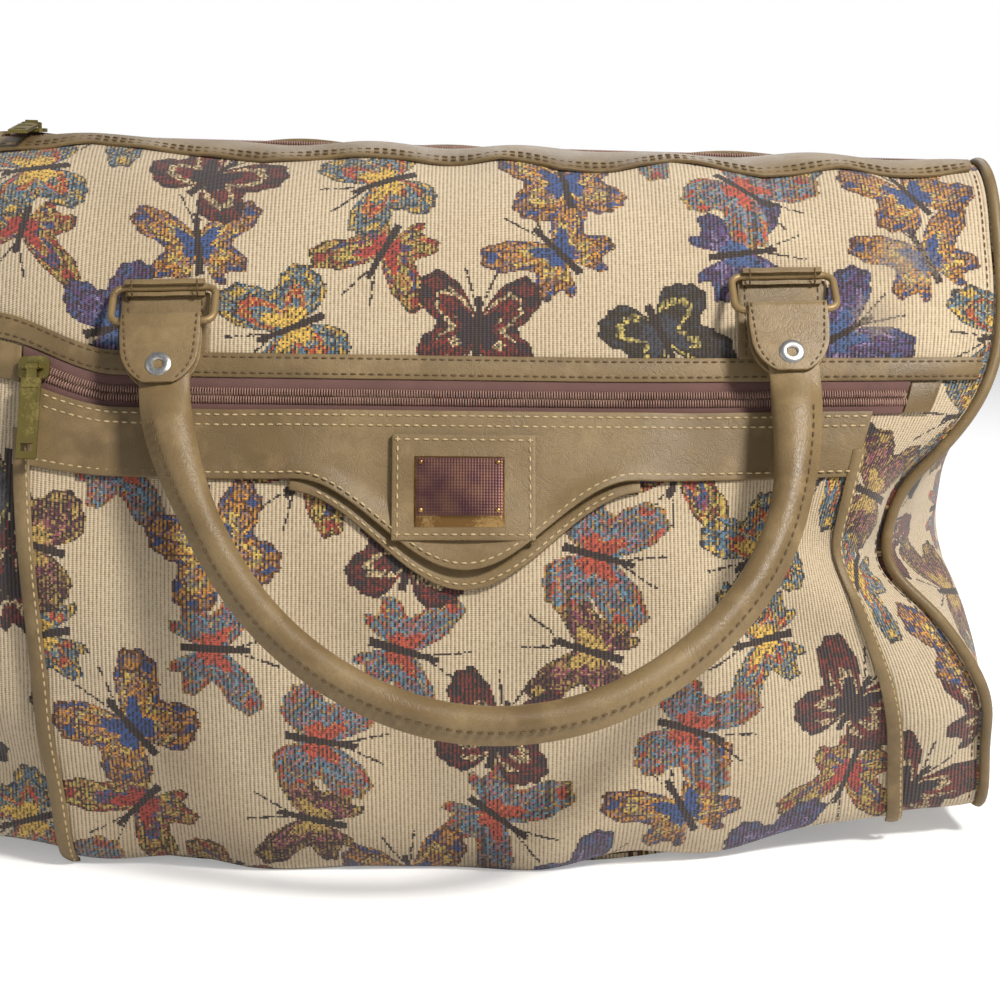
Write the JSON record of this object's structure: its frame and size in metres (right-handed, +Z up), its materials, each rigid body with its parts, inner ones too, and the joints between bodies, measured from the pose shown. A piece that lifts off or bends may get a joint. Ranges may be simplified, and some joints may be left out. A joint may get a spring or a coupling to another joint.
{
  "type": "carpet bag",
  "caption": "Soft tapestry travel bag with piped ends, zipped top, zipped front pocket under a scooped leather flap, and tubular handles on rings.",
  "frame": {"origin": "on the floor under the middle of the base", "axes": "+X to the right of the front, front faces -Y, +Z up"},
  "size_m": [0.5348, 0.4069, 0.3604],
  "materials": {
    "tapestry": "ribbed tapestry weave",
    "board": "covered stiffener",
    "leather": "worn khaki-tan leather",
    "zip_tape": "woven zip tape",
    "zip_coil": "satin nylon coil",
    "plate_brass": "aged brass with a dark face",
    "ring_paint": "tan painted wire",
    "eyelet_nickel": "dull nickel",
    "slider_brass": "olive brass"
  },
  "bodies": {
    "bag": {"front_panel": "tapestry", "back_panel": "tapestry", "base_panel": "tapestry", "end_panel_left": "tapestry", "end_panel_right": "tapestry", "pocket_panel": "tapestry", "base_board": "board", "piping_left": "leather", "piping_right": "leather", "top_strip_front": "leather", "top_strip_back": "leather", "main_zip_end_left": "leather", "main_zip_end_right": "leather", "pocket_zip_band": "leather", "side_trim_left": "leather", "side_trim_right": "leather", "pocket_zip_end_left": "leather", "pocket_zip_end_right": "leather", "pocket_flap": "leather", "scoop_rim": "leather", "patch": "leather", "main_zip_tape_front": "zip_tape", "main_zip_tape_back": "zip_tape", "pocket_zip_tape_upper": "zip_tape", "pocket_zip_tape_lower": "zip_tape", "main_zip_coil": "zip_coil", "pocket_zip_coil": "zip_coil", "nameplate": "plate_brass", "plate_stud_left_upper": "plate_brass", "plate_stud_left_lower": "plate_brass", "plate_stud_right_upper": "plate_brass", "plate_stud_right_lower": "plate_brass", "chape_front_left": "leather", "chape_front_right": "leather", "chape_back_left": "leather", "chape_back_right": "leather"},
    "front_handle": {"handle_front": "leather", "tongue_front_left": "leather", "tongue_front_right": "leather", "eyelet_front_left": "eyelet_nickel", "eyelet_front_right": "eyelet_nickel"},
    "front_left_ring": {"ring_front_left": "ring_paint"},
    "front_right_ring": {"ring_front_right": "ring_paint"},
    "back_handle": {"handle_back": "leather", "tongue_back_left": "leather", "tongue_back_right": "leather", "eyelet_back_left": "eyelet_nickel", "eyelet_back_right": "eyelet_nickel"},
    "back_left_ring": {"ring_back_left": "ring_paint"},
    "back_right_ring": {"ring_back_right": "ring_paint"},
    "zip_slider_pocket": {"pocket_slider": "slider_brass"},
    "zip_pull_pocket": {"pocket_pull": "slider_brass"},
    "zip_slider_main": {"main_slider": "slider_brass"},
    "zip_pull_main": {"main_pull": "slider_brass"}
  },
  "joints": [
    {"name": "front_left_ring_swing", "type": "hinge", "parent": "bag", "child": "front_left_ring", "pos_m": [-0.14695, -0.08105, 0.27962], "axis": [-0.9997, -0.0167, -0.0181], "range_deg": [0, 140]},
    {"name": "front_right_ring_swing", "type": "hinge", "parent": "bag", "child": "front_right_ring", "pos_m": [0.14696, -0.07613, 0.28493], "axis": [-0.9997, -0.0167, -0.0181], "range_deg": [0, 140]},
    {"name": "front_handle_swing", "type": "hinge", "parent": "front_left_ring", "child": "front_handle", "pos_m": [-0.14639, -0.09866, 0.26483], "axis": [-0.9997, -0.0167, -0.0181], "range_deg": [0, 20]},
    {"name": "back_left_ring_swing", "type": "hinge", "parent": "bag", "child": "back_left_ring", "pos_m": [-0.14695, 0.07869, 0.28479], "axis": [0.9999, -0.0001, -0.0162], "range_deg": [0, 140]},
    {"name": "back_right_ring_swing", "type": "hinge", "parent": "bag", "child": "back_right_ring", "pos_m": [0.14701, 0.07865, 0.28004], "axis": [0.9999, -0.0001, -0.0162], "range_deg": [0, 140]},
    {"name": "back_handle_swing", "type": "hinge", "parent": "back_left_ring", "child": "back_handle", "pos_m": [-0.14719, 0.09631, 0.27001], "axis": [0.9999, -0.0001, -0.0162], "range_deg": [0, 20]},
    {"name": "pocket_zip_slide", "type": "slide", "parent": "bag", "child": "zip_slider_pocket", "axis": [0.9994, -0.0101, -0.0334], "range_m": [0, 0.3927]},
    {"name": "pocket_pull_swing", "type": "hinge", "parent": "zip_slider_pocket", "child": "zip_pull_pocket", "pos_m": [-0.20774, -0.09869, 0.24395], "axis": [-1, 0, 0], "range_deg": [0, 100]},
    {"name": "main_zip_slide", "type": "slide", "parent": "bag", "child": "zip_slider_main", "axis": [0.9996, 0, -0.0275], "range_m": [0, 0.44]},
    {"name": "main_pull_swing", "type": "hinge", "parent": "zip_slider_main", "child": "zip_pull_main", "pos_m": [-0.22589, 0, 0.35831], "axis": [-0.9996, 0, 0.0275], "range_deg": [0, 140]}
  ],
  "couplings": [
    {"joint": "front_right_ring_swing", "follows": "front_left_ring_swing", "ratio": 1},
    {"joint": "back_right_ring_swing", "follows": "back_left_ring_swing", "ratio": 1}
  ]
}
